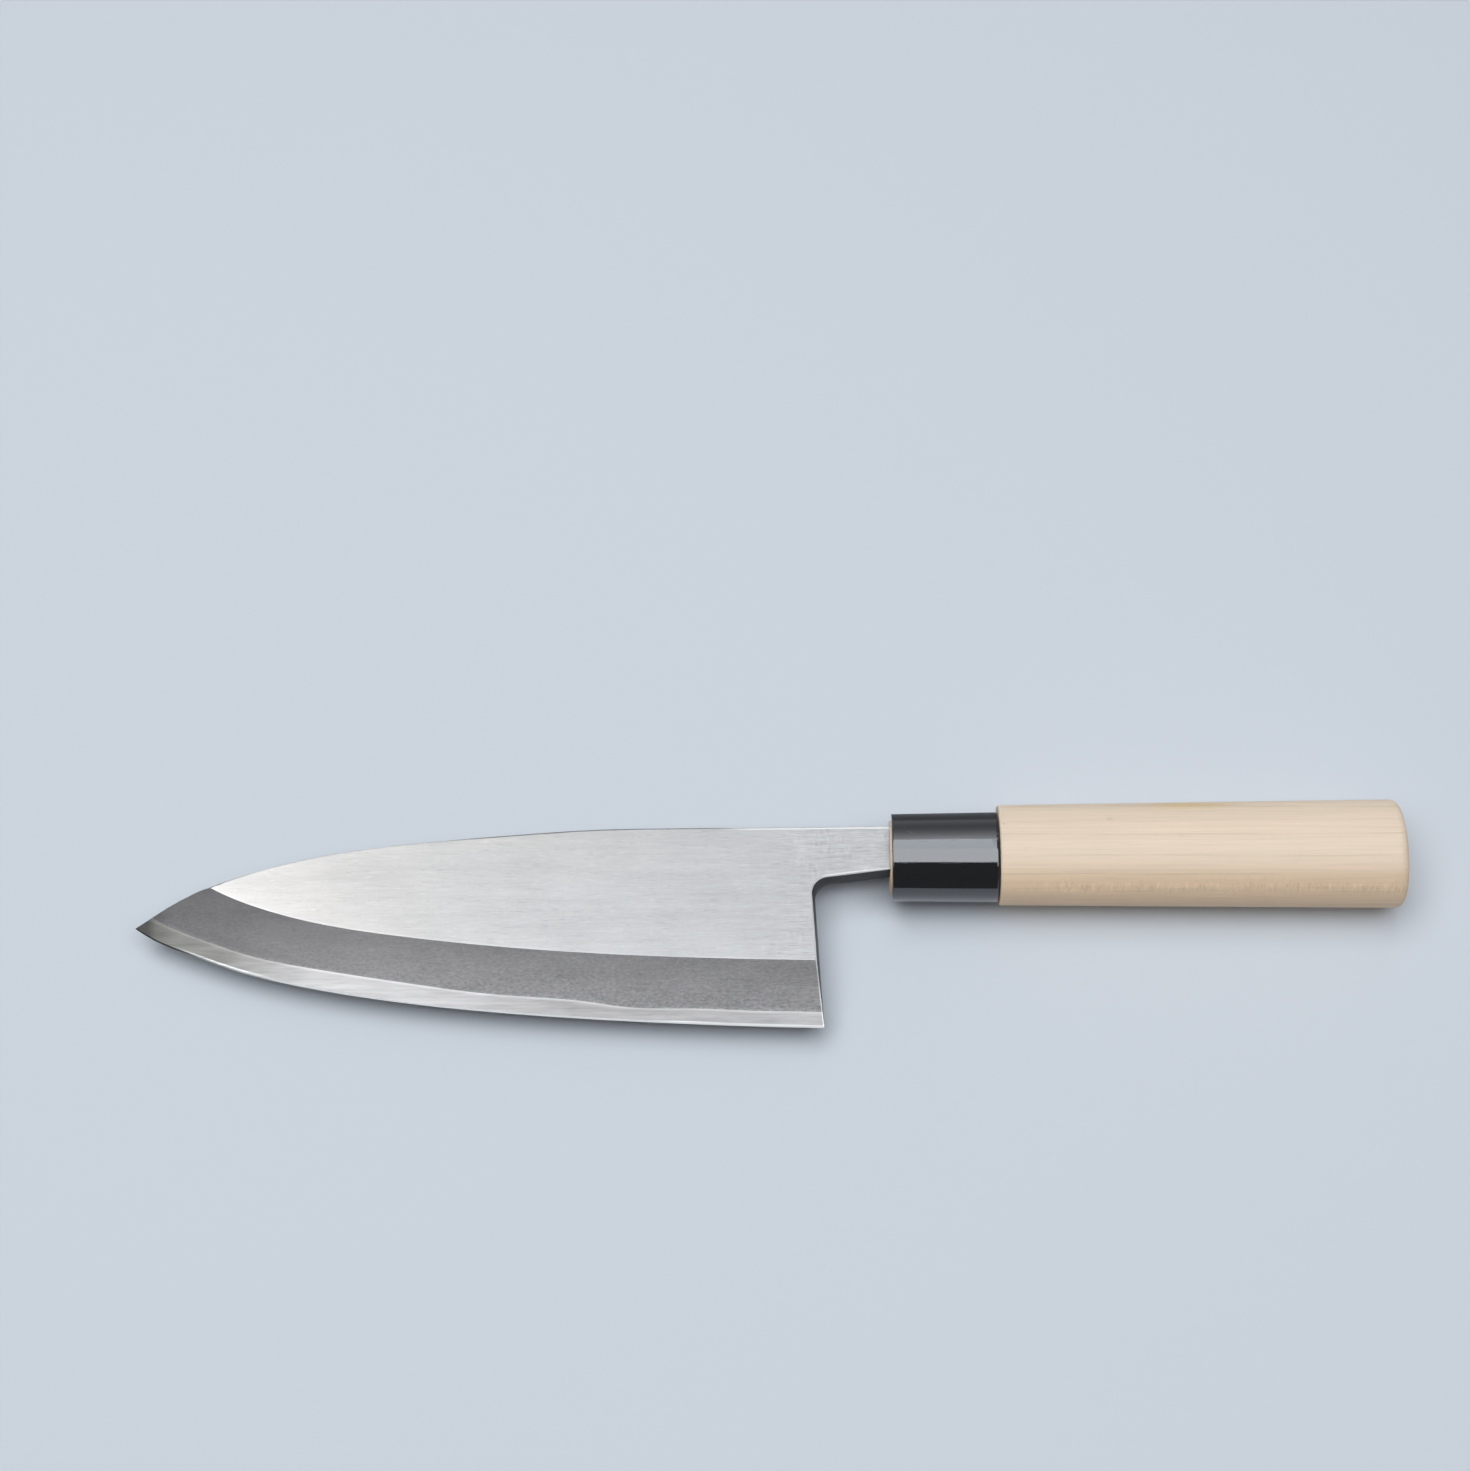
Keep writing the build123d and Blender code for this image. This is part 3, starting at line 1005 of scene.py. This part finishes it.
def hang_soft_boxes(look, level):
    """Hangs the soft boxes level over the table. Their power is their glow times pi and their area."""
    for name, box in Room.soft_boxes.items():
        lamp = bpy.data.lights.new(name, "AREA")
        lamp.shape = "RECTANGLE"
        lamp.size = box.right - box.left
        lamp.size_y = box.far - box.near
        lamp.color = box.colour
        lamp.energy = box.glow * np.pi * lamp.size * lamp.size_y
        soft_box = bpy.data.objects.new(name, lamp)
        soft_box.location = ((box.left + box.right) / 2, (box.near + box.far) / 2, level + look.lamp_height)
        bpy.context.scene.collection.objects.link(soft_box)


def light_room(look):
    """Gives the room a dim light. The camera, and dimly gloss, see its pale walls."""
    world = bpy.data.worlds.new("room")
    bpy.context.scene.world = world
    room = Tree(world)
    side, depth, height = room.split(room.node("ShaderNodeTexCoord", {}, {}, "Generated"))
    rising = ((height - Room.halo_start) / Room.halo_length).least(0.0).power(Room.halo_power)
    halo = rising * side.near(*Room.near_halo) * depth.ramp(*Room.halo_depth) * height.ramp(*Room.halo_top)
    back = side.near(*Room.near_back) * depth.ramp(*Room.back_depth) * Room.back_light
    rays = room.node("ShaderNodeLightPath", {}, {}, "Is Camera Ray")
    wall = height.ramp(*Room.wall_height) * (1 - side.near(*Room.near_gap) * depth.ramp(*Room.gap_depth))
    glow = back + halo + wall * rays.output("Is Glossy Ray") * Room.wall_light + Room.dim
    dim = room.node("ShaderNodeBackground", {}, {"Color": Room.colour, "Strength": glow})
    pale = room.node("ShaderNodeBackground", {}, {"Color": tuple(look.backdrop), "Strength": 1.0})
    shown = room.node("ShaderNodeMixShader", {}, {0: rays, 1: dim, 2: pale})
    room.node("ShaderNodeOutputWorld", {}, {"Surface": shown})


def place_camera(look):
    """Stands the camera where the photographer stood."""
    eye = bpy.data.cameras.new("eye")
    eye.sensor_fit = "HORIZONTAL"
    eye.lens = look.focal_pixels / PHOTO_WIDTH * eye.sensor_width
    eye.clip_start = Room.nearest_seen
    camera = bpy.data.objects.new("eye", eye)
    aim = Vector(look.camera_aim).normalized()
    picture_up = (Vector(look.camera_up) - aim * aim.dot(Vector(look.camera_up))).normalized()
    turn = Matrix((aim.cross(picture_up), picture_up, -aim)).transposed()
    camera.matrix_world = Matrix.Translation(look.camera_place) @ turn.to_4x4()
    bpy.context.scene.collection.objects.link(camera)
    bpy.context.scene.camera = camera


class DEBA_OT_stage(bpy.types.Operator):
    """The table, the soft boxes, the room's dim light and the camera"""

    bl_idname = "deba.stage"
    bl_label = "Stage"

    def execute(self, context):
        look = context.scene.deba_stage
        level = cad_bounds[0].z
        set_table(look, level)
        hang_soft_boxes(look, level)
        light_room(look)
        place_camera(look)
        context.scene.view_settings.view_transform = "Standard"
        return {"FINISHED"}


class DEBA_PT_panel(bpy.types.Panel):
    """Lists the pieces and their finishes"""

    bl_idname = "DEBA_PT_panel"
    bl_label = "Deba Knife"
    bl_space_type = "VIEW_3D"
    bl_region_type = "UI"
    bl_category = "Deba Knife"

    def draw(self, context):
        for operator in OPERATORS:
            self.layout.operator(operator.bl_idname)
        for name in GROUPS:
            group = getattr(context.scene, name)
            box = self.layout.box()
            for key in group.__annotations__:
                box.prop(group, key)


OPERATORS = (
    DEBA_OT_blade_body, DEBA_OT_cutting_steel, DEBA_OT_ring, DEBA_OT_handle, DEBA_OT_resin, DEBA_OT_stage,
)
GROUPS = {
    "deba_blade": DEBA_PG_blade, "deba_ring": DEBA_PG_ring, "deba_handle": DEBA_PG_handle,
    "deba_stage": DEBA_PG_stage,
}


def register():
    for group in GROUPS.values():
        bpy.utils.register_class(group)
    for name, group in GROUPS.items():
        setattr(bpy.types.Scene, name, bpy.props.PointerProperty(type=group))
    for operator in OPERATORS:
        bpy.utils.register_class(operator)
    bpy.utils.register_class(DEBA_PT_panel)


def unregister():
    bpy.utils.unregister_class(DEBA_PT_panel)
    for operator in reversed(OPERATORS):
        bpy.utils.unregister_class(operator)
    for name, group in GROUPS.items():
        delattr(bpy.types.Scene, name)
        bpy.utils.unregister_class(group)


def main():
    register()
    bpy.ops.deba.blade_body()
    bpy.ops.deba.cutting_steel()
    bpy.ops.deba.ring()
    bpy.ops.deba.handle()
    bpy.ops.deba.resin()
    bpy.ops.deba.stage()


if __name__ == "__main__":
    main()
